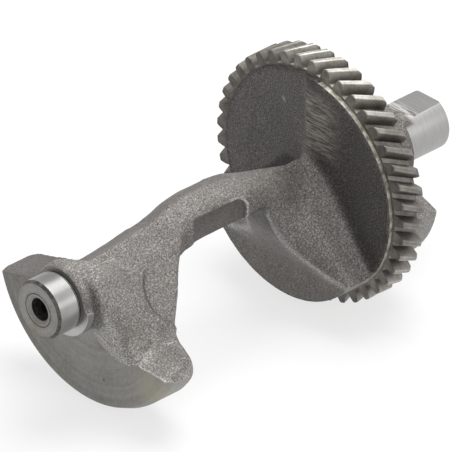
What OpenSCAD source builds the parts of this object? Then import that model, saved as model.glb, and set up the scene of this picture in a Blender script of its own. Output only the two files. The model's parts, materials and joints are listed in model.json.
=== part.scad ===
// Engine balance shaft: one iron casting with two turned journals, a front counterweight,
// an arched arm, and a helical gear with a counterweight on each side of its disc.
// Millimetres. X runs along the shaft from the front journal to the rear one, Z is up,
// and the counterweights hang below the axis.

/* [Journals] */
// Radius of both bearing journals
journal_r = 10; // [8:0.1:11.5]
// Length of the front journal, from its end face to the relief groove
front_journal_len = 8.7; // [6:0.1:10]
// Length of the rear journal, from its shoulder to its end face
rear_journal_len = 20.7; // [12:0.1:30]
// Chamfer on the journal ends
journal_chamfer = 0.8; // [0.3:0.1:1.5]
// Width of the relief groove behind the front journal
groove_w = 1; // [0.6:0.1:1.6]
// Depth of the relief groove
groove_depth = 0.6; // [0.3:0.1:1]
// Radius of the boss behind the front journal
boss_r = 12.6; // [12:0.1:15]
// Radius of the boss in front of the rear journal
rear_boss_r = 14; // [12:0.1:16]
// Length of the front boss, from its thrust face to the face of the front weight
front_boss_len = 10.5; // [6:0.1:14]
// Length of the front boss's collar, which stays round up to where its top is sloped off
collar_len = 4; // [2:0.1:5]
// Slope of the top of the front boss behind its collar, in degrees
boss_slope = 30; // [20:1:36]
// Length of the rear boss, from the rear weight to the rear journal
rear_boss_len = 9.8; // [6:0.1:16]
// Radius of the centre holes in the two ends
centre_hole_r = 3.9; // [2:0.1:5]
// Depth of the centre holes
centre_hole_depth = 12; // [6:0.5:18]

/* [Front weight] */
// Turned radius of the front weight
front_weight_r = 42.5; // [39:0.1:46]
// Height of the bevel between its turned face and its rim
bevel_h = 1.4; // [0.6:0.1:2]
// Length of that bevel along the shaft
bevel_len = 3.5; // [2:0.1:5]
// Rounding of the rear edge of its rim
rim_round = 4; // [2:0.5:6]
// Thickness of the front weight on the parting plane
front_weight_len = 17.8; // [14:0.1:22]
// Draft of its rear face on the far side, in degrees
far_rear_draft = 1.9; // [0:0.1:4]
// Draft of its rear face on the near side, in degrees
near_rear_draft = 1.5; // [0:0.1:4]
// Height of its far tip below the axis
far_tip_drop = 11.5; // [8:0.1:15]
// Slope of its far top face, in degrees
far_top_slope = 15.7; // [10:0.1:20]
// Height of its near lobe below the axis, at the turned face
near_lobe_drop = 18.8; // [16:0.1:22]
// Slope of its near lobe up towards the rear, in degrees
near_lobe_slope = 18; // [10:0.5:24]
// Reach of its near lobe to the side
near_lobe_y = 36.6; // [34:0.1:37.5]
// Rounding of the near lobe's rear corner
near_lobe_round = 6; // [3:0.5:9]

/* [Arm] */
// Free length between the front weight and the rear weights
bay_len = 68.7; // [60:0.1:80]
// Half of the arm's width
arm_half_w = 8.3; // [7:0.1:10]
// Height of the arm's ridge above the axis
arm_ridge_z = 16.3; // [14.5:0.1:18]
// Height of the arm's top edges above the axis
arm_edge_z = 13.4; // [12:0.1:14]
// Height of the arm's lower edges above the axis
arm_under_z = 2.6; // [1:0.1:5]
// Depth of the pocket in each side of the arm
pocket_depth = 1; // [0.4:0.1:1.5]
// Length of the pocket in each side of the arm
pocket_len = 22.7; // [14:0.1:28]
// Height of the arm's side that is left above the pocket
pocket_lip = 2.1; // [1.6:0.1:3]
// Rounding of the pocket's upper rear corner
pocket_round = 3.5; // [2:0.1:5]
// Length of the fan that spreads from the arm to the front weight
fan_len = 17; // [13:0.5:19]
// Half of the fan's width where it meets the front weight
fan_half_w = 23.5; // [20:0.1:26]
// Length of the root where the arm runs into the rear weights
root_len = 22; // [17:0.5:24]
// Rounding of the arm's edges
arm_edge = 1.6; // [0.8:0.1:2.2]

/* [Rear weights] */
// Radius of the disc and of the weight in front of it
disc_r = 38.5; // [36:0.1:38.6]
// Thickness of the weight in front of the disc
inner_weight_len = 10; // [6:0.1:14]
// Half of the width of the top of the weight in front of the disc
inner_roof_half_w = 8; // [6:0.1:9]
// Slope of its sides, in degrees
inner_roof_slope = 46.6; // [40:0.1:50]
// Draft of the disc's front face, in degrees
disc_draft = 1; // [0:0.1:1.4]
// Step in the disc's front face at the parting plane: its far half lies this much further back
parting_step = 0.8; // [0.2:0.1:1]
// Turned radius of the weight behind the gear
rear_weight_r = 36.4; // [32:0.1:38]
// Thickness of the weight behind the gear
rear_weight_len = 13; // [8:0.1:16]
// Height of its near tip below the axis
rear_tip_drop = 6.8; // [4:0.1:10]
// Slope of its near top face, in degrees
rear_near_slope = 20; // [12:0.5:24]
// Slope of its far top face, in degrees, which brings the centre of mass to the parting plane
rear_far_slope = 35.7; // [30:0.1:46]

/* [Gear] */
// Number of teeth
teeth = 41; // [35:1:47]
// Radius over the tips of the teeth
tip_r = 43.6; // [42.6:0.1:44.6]
// Radius at the bottom of the gaps
root_r = 39.2; // [38.7:0.1:39.8]
// Helix angle, in degrees
helix = 27; // [15:0.5:32]
// Width of the teeth along the shaft
face_w = 10; // [8:0.1:14]
// Width of the plain band in front of the teeth
band_w = 1.7; // [1:0.1:3]
// Chamfer on the front ends of the teeth
tooth_front_chamfer = 0.3; // [0.2:0.1:0.8]
// Chamfer on the rear ends of the teeth
tooth_rear_chamfer = 1; // [0.4:0.1:1.4]
// Transverse pressure angle, in degrees
pressure = 17; // [15:0.5:20]

/* [Hidden] */
$fn = 96;
cast_iron = [0.47, 0.46, 0.44];
eps = 0.01;

// Stations along the shaft, from the front end face
shoulder_x = front_journal_len + groove_w;
face_x = shoulder_x + front_boss_len;
weight_rear_x = face_x + front_weight_len;
inner_x = weight_rear_x + bay_len;
disc_x = inner_x + inner_weight_len;
gear_x = disc_x + band_w;
gear_rear_x = gear_x + face_w;
rear_weight_x = gear_rear_x + rear_weight_len;
rear_shoulder_x = rear_weight_x + rear_boss_len;
end_x = rear_shoulder_x + rear_journal_len;
// The origin lies on the axis, at the middle of the front journal's land
origin_x = (journal_chamfer + front_journal_len) / 2;

// Reach of cutters past what they cut, and of pieces into what carries them
reach = 2 * tip_r;
sink = 3;

// Turns a profile of [radius, x] points about the shaft's axis
module turned(points) {
    rotate([0, 90, 0])
        rotate_extrude()
            polygon(points);
}

// Extrudes an outline of [y, z] points along the shaft, from x0 to x1
module along_shaft(x0, x1, outline) {
    translate([x0, 0, 0])
        rotate([90, 0, 90])
            linear_extrude(x1 - x0)
                polygon(outline);
}

// The boss is sloped off this far round from the top, towards the far side, in degrees
boss_slope_turn = 24;
// Behind the face of the front weight the boss runs out in a tapered tail inside the fan
tail_len = 14;
tail_drop = 5;

// Front journal, relief groove, thrust face and boss, sloped off at the far top
module front_journal() {
    difference() {
        turned([
            [0, 0],
            [journal_r - journal_chamfer, 0],
            [journal_r, journal_chamfer],
            [journal_r, front_journal_len],
            [journal_r - groove_depth, front_journal_len],
            [journal_r - groove_depth, shoulder_x],
            [boss_r, shoulder_x],
            [boss_r, face_x],
            [boss_r - tail_drop, face_x + tail_len],
            [0, face_x + tail_len],
        ]);
        rotate([-boss_slope_turn, 0, 0])
            translate([shoulder_x + collar_len, 0, boss_r])
                rotate([0, boss_slope, 0])
                    translate([-sink, -reach / 2, 0])
                        cube(reach);
    }
}

// Rear boss, shoulder and journal
module rear_journal() {
    turned([
        [0, gear_rear_x - sink],
        [rear_boss_r, gear_rear_x - sink],
        [rear_boss_r, rear_shoulder_x],
        [journal_r, rear_shoulder_x],
        [journal_r, end_x - journal_chamfer],
        [journal_r - journal_chamfer, end_x],
        [0, end_x],
    ]);
}

// Drilled centre hole with a countersunk mouth, in an end face that looks along -X
module centre_hole() {
    mouth = 0.8;
    drill_point = centre_hole_r * tan(30);
    turned([
        [0, -eps],
        [centre_hole_r + mouth + eps, -eps],
        [centre_hole_r, mouth],
        [centre_hole_r, centre_hole_depth],
        [0, centre_hole_depth + drill_point],
    ]);
}

// Plan outline of the front weight: its rear face leans forward from the parting plane,
// and the near lobe has a rounded rear corner
module front_weight_plan() {
    far_x = weight_rear_x - reach * tan(far_rear_draft);
    round_y = near_lobe_round - near_lobe_y;
    round_x = weight_rear_x + round_y * tan(near_rear_draft) - near_lobe_round / cos(near_rear_draft);
    corner = [for (a = [-90:15:0])
        let (t = a - near_rear_draft * (1 + a / 90))
        [round_x, round_y] + near_lobe_round * [cos(t), sin(t)]];
    translate([0, 0, -reach])
        linear_extrude(2 * reach)
            polygon(concat(
                [[face_x - sink, -near_lobe_y]],
                corner,
                [[weight_rear_x, 0], [far_x, reach], [face_x - sink, reach]]
            ));
}

// Radius of the front weight's turned face, inside the bevel
front_face_r = front_weight_r - bevel_h;

// Space under the sloping top faces of the front weight
module front_weight_tops() {
    tip_y = sqrt(pow(front_face_r, 2) - pow(far_tip_drop, 2));
    rise = tan(far_top_slope);
    along_shaft(face_x - sink, weight_rear_x + sink, [
        [0, -reach],
        [reach, -reach],
        [reach, -far_tip_drop - (reach - tip_y) * rise],
        [0, -far_tip_drop + tip_y * rise],
    ]);
    translate([face_x, 0, -near_lobe_drop])
        rotate([0, -near_lobe_slope, 0])
            translate([-reach, -reach, -reach])
                cube([2 * reach, reach + eps, reach]);
}

// Rim of the front weight, bevelled in front and rounded behind, and proud of its turned face
module front_weight_rim() {
    back = [for (a = [0:15:90])
        [front_weight_r - rim_round * (1 - cos(a)), weight_rear_x - rim_round * (1 - sin(a))]];
    turned(concat(
        [
            [0, face_x - sink],
            [front_face_r, face_x - sink],
            [front_face_r, face_x],
            [front_weight_r, face_x + bevel_len],
        ],
        back,
        [[0, weight_rear_x]]
    ));
}

// The upper rear corner of the near lobe leans forward and turns away from the fan's foot, in degrees
near_corner_lean = 14;
near_corner_turn = 19.6;

// Cutter for that corner
module near_lobe_corner() {
    foot_x = weight_rear_x - 1.1;
    foot_y = fan_half_w + 0.7;
    foot_z = (foot_x - face_x) * tan(near_lobe_slope) - near_lobe_drop;
    translate([foot_x, -foot_y, foot_z])
        rotate([0, -near_corner_lean, -near_corner_turn])
            translate([0, -reach, -reach])
                cube(2 * reach);
}

// Front weight as cast
module front_weight_blank() {
    difference() {
        intersection() {
            front_weight_rim();
            front_weight_plan();
            front_weight_tops();
        }
        near_lobe_corner();
    }
}

// Stations of the arm's loft
fan_end_x = weight_rear_x + fan_len;
root_start_x = inner_x - root_len;
pocket_end_x = root_start_x - 2;
pocket_start_x = pocket_end_x - pocket_len;

// Guide lines of the loft: pairs of [x, value]
ridge_line = [
    [face_x - sink, 8],
    [face_x, 8.8],
    [face_x + 10, 9.8],
    [weight_rear_x, 10.6],
    [fan_end_x - 8, 12],
    [fan_end_x + 2, arm_ridge_z - 1],
    [fan_end_x + 11, arm_ridge_z],
    [root_start_x - 10, arm_ridge_z - 0.6],
    [root_start_x, arm_ridge_z - 2],
    [inner_x, 10.5],
    [disc_x + sink, 9.5],
];
edge_half_w = [
    [face_x - sink, 17],
    [face_x, 19],
    [face_x + 10.5, fan_half_w],
    [weight_rear_x - 2, fan_half_w + 1.5],
    [weight_rear_x, fan_half_w],
    [weight_rear_x + 6.6, 18.2],
    [weight_rear_x + 10.8, 13.8],
    [weight_rear_x + 14.6, 10],
    [fan_end_x, arm_half_w],
    [root_start_x, arm_half_w],
    [inner_x, inner_roof_half_w],
    [disc_x + sink, inner_roof_half_w],
];
edge_line = [
    [face_x - sink, -20],
    [face_x, -19],
    [face_x + 10.5, -13.6],
    [weight_rear_x - 2, -9.5],
    [weight_rear_x, -8.2],
    [weight_rear_x + 6.6, -2.4],
    [weight_rear_x + 10.8, 2.8],
    [weight_rear_x + 14.6, 8],
    [fan_end_x + 3, arm_edge_z - 1.4],
    [fan_end_x + 12, arm_edge_z],
    [root_start_x - 8, arm_edge_z - 0.4],
    [root_start_x, arm_edge_z - 1.4],
    [inner_x - 9, 7],
    [inner_x - 4.5, 3],
    [inner_x, -0.8],
    [disc_x + sink, -0.8],
];
skirt_half_w = [
    [face_x - sink, 15],
    [weight_rear_x - 2, fan_half_w],
    [weight_rear_x, fan_half_w - 0.8],
    [weight_rear_x + 6.6, 17.5],
    [weight_rear_x + 10.8, 13.3],
    [weight_rear_x + 14.6, 9.8],
    [fan_end_x, arm_half_w],
    [inner_x - 11, arm_half_w],
    [inner_x - 7.7, 9.6],
    [inner_x - 4.6, 12.4],
    [inner_x - 2.8, 19.6],
    [inner_x, 30.2],
    [inner_x + 4, 24],
    [disc_x + sink, 24],
];
skirt_line = [
    [face_x - sink, -28],
    [weight_rear_x - 2, -26],
    [weight_rear_x + 0.4, -17],
    [weight_rear_x + 3, -11],
    [weight_rear_x + 6.6, -6],
    [weight_rear_x + 10.8, -1.2],
    [weight_rear_x + 14.6, 0.6],
    [fan_end_x + 3, arm_under_z - 0.8],
    [fan_end_x + 8, arm_under_z],
    [inner_x - 20, arm_under_z],
    [inner_x - 15, arm_under_z - 0.6],
    [inner_x - 13.4, -1.8],
    [inner_x - 11, -7.6],
    [inner_x - 7.7, -13.2],
    [inner_x - 4.6, -18],
    [inner_x - 2.8, -20.8],
    [inner_x, -24.6],
    [inner_x + 4, -28],
    [disc_x + sink, -28],
];
under_drop = 1.2;
// Bulge of the fan's flanks over a straight flank: hollow at the turned face, full behind it
flank_line = [
    [face_x, -9],
    [face_x + 1.5, 2],
    [face_x + 6, 3.5],
    [face_x + 11, 2],
    [weight_rear_x, 0],
];
flank_at = 0.5;

// One section of the loft, as [x, y, z] points round the arm
function half_section(x) =
    let (
        w = lookup(x, edge_half_w),
        z = lookup(x, edge_line),
        v = lookup(x, skirt_half_w),
        u = lookup(x, skirt_line),
        c = min(arm_edge, (z - u) / 3),
        top = lookup(x, ridge_line)
    )
    [
        [w * flank_at, top + (z - top) * flank_at + lookup(x, flank_line)],
        [w - c, z + c * (top - z) / w],
        [w, z - c],
        [v, u + c / 2],
        [v - c / 2, u],
    ];
function arm_section(x) =
    let (h = half_section(x))
    concat(
        [[x, 0, lookup(x, ridge_line)]],
        [for (p = h) [x, -p[0], p[1]]],
        [[x, 0, lookup(x, skirt_line) - under_drop]],
        [for (i = [len(h) - 1:-1:0]) [x, h[i][0], h[i][1]]]
    );

// Sections stand closer together where the arm bends
function steps(x0, x1, n) = [for (i = [0:n - 1]) x0 + (x1 - x0) * i / n];
arm_stations = concat(
    [face_x - sink, face_x, face_x + 1.5],
    steps(face_x + 4, weight_rear_x, 5),
    steps(weight_rear_x, fan_end_x, 8),
    steps(fan_end_x, root_start_x, 9),
    steps(root_start_x, inner_x, 12),
    [inner_x, inner_x + 4, disc_x + sink]
);

// Arched arm with its fan and root, lofted through the sections
module arm() {
    rings = [for (x = arm_stations) arm_section(x)];
    n = len(rings[0]);
    last = len(rings) - 1;
    polyhedron(
        points = [for (ring = rings) each ring],
        faces = concat(
            [[for (j = [0:n - 1]) j]],
            [for (i = [0:last - 1], j = [0:n - 1])
                let (a = i * n + j, b = i * n + (j + 1) % n)
                each [[a, a + n, b], [b, a + n, b + n]]],
            [[for (j = [n - 1:-1:0]) last * n + j]]
        )
    );
}

// Cutter for the pocket in the arm's far side: open below, with a rounded upper rear corner
module pocket() {
    top_z = arm_edge_z - pocket_lip;
    bottom_z = arm_under_z - sink;
    translate([0, arm_half_w + reach - pocket_depth, 0])
        rotate([90, 0, 0])
            linear_extrude(reach)
                union() {
                    translate([pocket_start_x, bottom_z])
                        square([pocket_len, top_z - pocket_round - bottom_z]);
                    translate([pocket_start_x, bottom_z])
                        square([pocket_len - pocket_round, top_z - bottom_z]);
                    translate([pocket_end_x - pocket_round, top_z - pocket_round])
                        circle(r = pocket_round);
                }
}

// Front weight and arm, with the weight's front face turned flat
module front_casting() {
    difference() {
        union() {
            front_weight_blank();
            arm();
        }
        translate([face_x - reach, -reach, -reach])
            cube([reach, 2 * reach, 2 * reach]);
        pocket();
        mirror([0, 1, 0])
            pocket();
    }
}

// Involute of the gear: pitch radius, base radius and the roll angle at a radius
pitch_r = (tip_r + root_r) / 2;
base_r = pitch_r * cos(pressure);
function involute(r) =
    let (a = acos(min(1, base_r / r)))
    tan(a) * 180 / PI - a;
gap_share = 0.46;
function gap_angle(r) = 180 / teeth * gap_share + involute(r) - involute(pitch_r);

// Outline of one gap between two teeth, square to the helix
gap_radii = [root_r, pitch_r, tip_r + 1];
gap_flank = [for (r = gap_radii) [r * sin(gap_angle(r)) * cos(helix), r]];
gap_outline = concat(
    gap_flank,
    [for (i = [len(gap_flank) - 1:-1:0]) [-gap_flank[i][0], gap_flank[i][1]]]
);

// Cutter for one gap, laid along the helix at the middle of the teeth
module gap_cutter() {
    length = 2 * face_w / cos(helix);
    translate([gear_x + face_w / 2, 0, 0])
        rotate([0, 0, -helix])
            along_shaft(-length / 2, length / 2, gap_outline);
}

// Blank of the gear, its disc and the weight in front, before it is cut
module gear_blank() {
    turned([
        [0, inner_x],
        [disc_r, inner_x],
        [disc_r, gear_x],
        [tip_r - tooth_front_chamfer, gear_x],
        [tip_r, gear_x + tooth_front_chamfer],
        [tip_r, gear_rear_x - tooth_rear_chamfer],
        [tip_r - tooth_rear_chamfer, gear_rear_x],
        [0, gear_rear_x],
    ]);
}

// The disc stands this much proud of its station at the parting plane
disc_proud = 0.3;

// What is missing above the weight in front of the disc, down to the disc's front face
module inner_weight_relief() {
    fall = tan(inner_roof_slope) * (reach - inner_roof_half_w);
    lean = reach * tan(disc_draft);
    near_x = disc_x - disc_proud;
    far_x = near_x + parting_step;
    intersection() {
        along_shaft(inner_x - sink, gear_x - eps, [
            [-reach, -fall],
            [-inner_roof_half_w, 0],
            [inner_roof_half_w, 0],
            [reach, -fall],
            [reach, reach],
            [-reach, reach],
        ]);
        translate([0, 0, -reach])
            linear_extrude(2 * reach)
                polygon([
                    [inner_x - sink, -reach],
                    [near_x + lean, -reach],
                    [near_x, 0],
                    [far_x, 0],
                    [far_x + lean, reach],
                    [inner_x - sink, reach],
                ]);
    }
}

// Helical gear with its disc and the weight in front
module gear() {
    difference() {
        gear_blank();
        inner_weight_relief();
        for (i = [0:teeth - 1])
            rotate([i * 360 / teeth, 0, 0])
                gap_cutter();
    }
}

// Weight behind the gear
module rear_weight() {
    tip_y = sqrt(pow(rear_weight_r, 2) - pow(rear_tip_drop, 2));
    crest_z = tip_y * tan(rear_near_slope) - rear_tip_drop;
    intersection() {
        translate([gear_rear_x - sink, 0, 0])
            rotate([0, 90, 0])
                cylinder(r = rear_weight_r, h = rear_weight_len + sink);
        along_shaft(gear_rear_x - 2 * sink, rear_weight_x + sink, [
            [-reach, -reach],
            [reach, -reach],
            [reach, crest_z - reach * tan(rear_far_slope)],
            [0, crest_z],
            [-reach, crest_z - reach * tan(rear_near_slope)],
        ]);
    }
}

// The whole shaft, one casting
module balance_shaft() {
    color(cast_iron)
        translate([-origin_x, 0, 0])
            difference() {
                union() {
                    front_journal();
                    front_casting();
                    gear();
                    rear_weight();
                    rear_journal();
                }
                centre_hole();
                translate([end_x, 0, 0])
                    mirror([1, 0, 0])
                        centre_hole();
            }
}

balance_shaft();
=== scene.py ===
# %% [markdown]
# # A balance shaft, cast in one piece
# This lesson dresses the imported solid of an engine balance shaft. The real one starts as
# a rough iron casting. A lathe then turns its journals, the face and rim of the front
# weight and the rims of the gear, a mill cuts a flat, and a hob cuts the teeth. The script
# works in the same order, so each finish lies where its tool left it.

import json
import math

import bmesh
import bpy
import numpy as np
from mathutils import Matrix, Vector


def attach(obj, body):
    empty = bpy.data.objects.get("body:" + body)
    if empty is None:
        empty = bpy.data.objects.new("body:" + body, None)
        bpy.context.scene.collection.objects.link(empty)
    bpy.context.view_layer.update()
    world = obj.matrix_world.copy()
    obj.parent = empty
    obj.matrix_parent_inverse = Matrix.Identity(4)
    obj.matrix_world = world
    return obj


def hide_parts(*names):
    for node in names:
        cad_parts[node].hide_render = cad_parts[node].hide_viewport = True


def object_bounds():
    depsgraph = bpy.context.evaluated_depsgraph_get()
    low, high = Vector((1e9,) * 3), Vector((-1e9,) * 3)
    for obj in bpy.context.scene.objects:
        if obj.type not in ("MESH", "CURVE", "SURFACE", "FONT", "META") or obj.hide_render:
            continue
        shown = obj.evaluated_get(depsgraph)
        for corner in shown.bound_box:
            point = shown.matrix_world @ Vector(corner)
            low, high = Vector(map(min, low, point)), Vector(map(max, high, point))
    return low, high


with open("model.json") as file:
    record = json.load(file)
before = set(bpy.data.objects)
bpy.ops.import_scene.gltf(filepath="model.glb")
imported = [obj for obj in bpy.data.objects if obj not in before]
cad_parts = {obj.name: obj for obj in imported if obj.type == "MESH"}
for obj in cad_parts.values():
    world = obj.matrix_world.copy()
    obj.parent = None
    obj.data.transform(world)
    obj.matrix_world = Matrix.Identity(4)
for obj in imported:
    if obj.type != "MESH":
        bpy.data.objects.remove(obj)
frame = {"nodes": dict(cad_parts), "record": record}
cad_low, cad_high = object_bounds()
cad = frame["nodes"]["balance_shaft"]

MM = 0.001
FRONT_END = cad_low.x / MM
JOURNAL_R = frame["record"]["mounts"][0]["dims"]["r_mm"]
TIP_R = cad_high.y / MM - 0.02

# Stations along the shaft in mm, counted from the front end face
SHOULDER, FACE, WEIGHT_REAR = 9.7, 20.2, 38.0
INNER, DISC, GEAR, GEAR_REAR = 106.7, 116.7, 118.4, 128.4
REAR_WEIGHT, REAR_SHOULDER = 141.4, 151.2
END = (cad_high.x - cad_low.x) / MM
# Radii in mm
BOSS_R, REAR_BOSS_R, FACE_R, WEIGHT_R = 12.6, 15.0, 41.1, 42.5
DISC_R, ROOT_R, REAR_R = 38.5, 39.2, 36.4


def along(x):
    """A station in mm from the front end face, as X in metres in the part's frame."""
    return (x + FRONT_END) * MM


print(f"CAD box {cad_low[:]} to {cad_high[:]}, shaft {END:.1f} mm long")

# %% [markdown]
# ## Helpers for node trees
# Materials and Geometry Nodes are both graphs of nodes. They could be wired by hand in the
# editor, but a script builds the same graph in every run. A socket knows its own tree, its
# `id_data`, so most helpers need no tree passed to them.


# %% Node helpers
def add(tree, kind, sockets=None, **settings):
    """Adds a node, sets its properties, fills or links its inputs, returns its outputs."""
    node = tree.nodes.new(kind)
    for name, value in settings.items():
        setattr(node, name, value)
    for key, value in (sockets or {}).items():
        if isinstance(value, bpy.types.NodeSocket):
            tree.links.new(value, node.inputs[key])
        else:
            node.inputs[key].default_value = value
    return node.outputs


def math_node(operation, a, b):
    tree = (a if isinstance(a, bpy.types.NodeSocket) else b).id_data
    return add(tree, "ShaderNodeMath", {0: a, 1: b}, operation=operation)[0]


def geometry_tree(name, **inputs):
    """A Geometry Nodes tree, what it is given by name, and what it has to fill."""
    tree = bpy.data.node_groups.new(name, "GeometryNodeTree")
    tree.interface.new_socket("Geometry", in_out="INPUT", socket_type="NodeSocketGeometry")
    for label, kind in inputs.items():
        tree.interface.new_socket(label, in_out="INPUT", socket_type="NodeSocket" + kind)
    tree.interface.new_socket("Geometry", in_out="OUTPUT", socket_type="NodeSocketGeometry")
    given = tree.nodes.new("NodeGroupInput").outputs
    return tree, given, tree.nodes.new("NodeGroupOutput").inputs


def end_tree(geometry, given, result):
    """Sets the given material and links the geometry to the tree's output."""
    tree = geometry.id_data
    sockets = {"Geometry": geometry, "Material": given["Material"]}
    tree.links.new(add(tree, "GeometryNodeSetMaterial", sockets)[0], result["Geometry"])
    print("tree", tree.name, "with", len(tree.nodes), "nodes")


print("node helpers are ready")


# %% Object helpers
def evaluated(obj):
    """The object's mesh with its modifiers applied."""
    depsgraph = bpy.context.evaluated_depsgraph_get()
    depsgraph.update()
    return bpy.data.meshes.new_from_object(obj.evaluated_get(depsgraph))


def run_tree(obj, tree, **values):
    """Runs a tree on an object, with inputs set by identifier, and returns a plain mesh."""
    modifier = obj.modifiers.new(tree.name, "NODES")
    modifier.node_group = tree
    for item in tree.interface.items_tree:
        if item.in_out == "INPUT" and item.name in values:
            modifier[item.identifier] = values[item.name]
    mesh = evaluated(obj)
    obj.modifiers.remove(modifier)
    return mesh


def new_object(name, data):
    obj = bpy.data.objects.new(name, data)
    bpy.context.scene.collection.objects.link(obj)
    return obj


print("object helpers are ready")

# %% [markdown]
# ## Helpers for finishes
# Every finish here is a Principled shader whose colour is noise through a colour ramp, with
# bumps from the same noise. Painted images could do it too, but noise on Object coordinates
# needs no unwrapping and stays sharp in a close view.


# %% Finishes
def material(name, metallic, roughness):
    made = bpy.data.materials.new(name)
    made.use_nodes = True
    shader = made.node_tree.nodes["Principled BSDF"].inputs
    shader["Metallic"].default_value = metallic
    shader["Roughness"].default_value = roughness
    return made


def iron(name, metallic, roughness):
    """An iron finish, and the Object coordinates in its tree."""
    made = material("cast_iron_" + name, metallic, roughness)
    return made, add(made.node_tree, "ShaderNodeTexCoord")["Object"]


def attribute(made, name):
    """A value that is painted on the points of the mesh."""
    return add(made.node_tree, "ShaderNodeAttribute", attribute_name=name)["Fac"]


def dress(made, colour, *bumps):
    """Links the colour and a chain of bumps, each (height, strength, mm), to the shader."""
    tree, normal = made.node_tree, None
    shader = tree.nodes["Principled BSDF"].inputs
    tree.links.new(colour, shader["Base Color"])
    for height, strength, distance in bumps:
        sockets = {"Height": height, "Strength": strength, "Distance": distance * MM}
        if normal is not None:
            sockets["Normal"] = normal
        normal = add(tree, "ShaderNodeBump", sockets)["Normal"]
    if normal is not None:
        tree.links.new(normal, shader["Normal"])
    print("material", made.name, "with", len(tree.nodes), "nodes")


print("finish helpers are ready")


# %% Patterns
def noise(vector, scale, detail=3, rough=0.6):
    sockets = {"Vector": vector, "Scale": scale, "Detail": detail, "Roughness": rough}
    return add(vector.id_data, "ShaderNodeTexNoise", sockets)["Fac"]


def stretched(place, scale):
    """The place scaled by axis: noise is drawn out along an axis with a small scale."""
    return add(place.id_data, "ShaderNodeMapping", {"Vector": place, "Scale": scale})[0]


def ramp(factor, *stops):
    """A colour ramp with (position, colour) stops, where one number means a grey."""
    colour = add(factor.id_data, "ShaderNodeValToRGB", {"Fac": factor})["Color"]
    elements = colour.node.color_ramp.elements
    while len(elements) < len(stops):
        elements.new(0.5)
    for element, (position, tint) in zip(elements, stops):
        element.position = position
        element.color = (*tint, 1) if isinstance(tint, tuple) else (tint, tint, tint, 1)
    return colour


def mix(factor, a, b, blend="MIX"):
    sockets = {0: factor, 6: a, 7: b}
    return add(a.id_data, "ShaderNodeMix", sockets, data_type="RGBA", blend_type=blend)[2]


def multiply(a, b):
    return mix(1.0, a, b, "MULTIPLY")


print("pattern helpers are ready")

# %% [markdown]
# ## Rough cast iron
# The casting is shot-blasted: tiny dents catch the light, so the skin looks peppered. Real
# dents would cost millions of faces, so noise gives the pepper, partly as painted glints, and
# a bump from the same noise makes it sparkle. Four attributes, painted later, steer it from
# place to place: one fades the pepper out on smooth skin, one darkens it as painted shade,
# one pales it as painted highlights and a paler turned rim, and one shows strokes of a
# grinder on the seam.

# %% Rough cast iron material
cast_iron, place = iron("rough", 0.35, 0.6)
pepper = noise(place, 1900, 4, 0.8)
dents = noise(place, 520)
blotch = noise(place, 60, 3, 0.55)
strokes = noise(stretched(place, (1, 0.22, 2.2)), 900, 4, 0.7)
speckle = ramp(
    pepper, (0.32, (0.05, 0.046, 0.043)), (0.51, (0.205, 0.193, 0.182)), (0.68, (0.58, 0.55, 0.525))
)
smooth_skin = ramp(pepper, (0.3, (0.075, 0.07, 0.065)), (0.7, (0.23, 0.216, 0.202)))
shade = ramp(blotch, (0.35, (0.82, 0.81, 0.79)), (0.65, 1.0))
shade_colour = ramp(pepper, (0.38, (0.085, 0.079, 0.073)), (0.62, (0.225, 0.211, 0.197)))
pale_colour = ramp(pepper, (0.38, (0.11, 0.106, 0.10)), (0.62, (0.66, 0.645, 0.615)))
scoured = ramp(strokes, (0.42, (0.055, 0.051, 0.045)), (0.65, (0.40, 0.37, 0.315)))
colour = multiply(mix(attribute(cast_iron, "tone"), smooth_skin, speckle), shade)
# Painted shade darkens the colour here, then it is paled for painted highlights and a turned rim
colour = mix(attribute(cast_iron, "soot"), colour, multiply(colour, shade_colour))
colour = mix(attribute(cast_iron, "edge"), colour, pale_colour)
colour = mix(attribute(cast_iron, "ground"), colour, scoured)
dress(cast_iron, colour, (pepper, 0.5, 0.3), (dents, 0.35, 0.4))

# %% [markdown]
# ## Turned faces
# A lathe tool leaves fine rings about the axis. A ring texture would do, but its rings are
# too even. Noise that changes only with the distance from the axis, taken from Y and Z,
# gives uneven ones. Broad noise adds oil stains, and three blemishes are set by place.


# %% Turned material
def vector_math(operation, a, b=(0, 0, 0)):
    return add(a.id_data, "ShaderNodeVectorMath", {0: a, 1: b}, operation=operation)


def axes_of(place):
    return add(place.id_data, "ShaderNodeSeparateXYZ", {0: place})


turned_iron, place = iron("turned", 0.6, 0.5)
off_axis = vector_math("LENGTH", vector_math("MULTIPLY", place, (0, 1, 1))[0])["Value"]
rings = add(turned_iron.node_tree, "ShaderNodeCombineXYZ", {"X": off_axis})[0]
tool_marks = noise(rings, 2600, 2)
sweeps = noise(rings, 500)
pores = noise(place, 900, 4, 0.7)
stain = noise(place, 75, 4)
bare = ramp(pores, (0.3, (0.228, 0.222, 0.209)), (0.6, (0.302, 0.295, 0.278)))
swept = ramp(sweeps, (0.36, (0.80, 0.80, 0.79)), (0.6, 1.0))
stained = ramp(stain, (0.5, 1.0), (0.78, (0.74, 0.68, 0.58)))
# The face is made darker towards the far side, over this reach in mm
DARKENING_REACH = 40
far_share = math_node("DIVIDE", axes_of(place)["Y"], DARKENING_REACH * MM)
far_darkening = ramp(far_share, (0.1, 1.0), (0.8, 0.70))
colour = multiply(multiply(multiply(bare, swept), stained), far_darkening)
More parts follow.
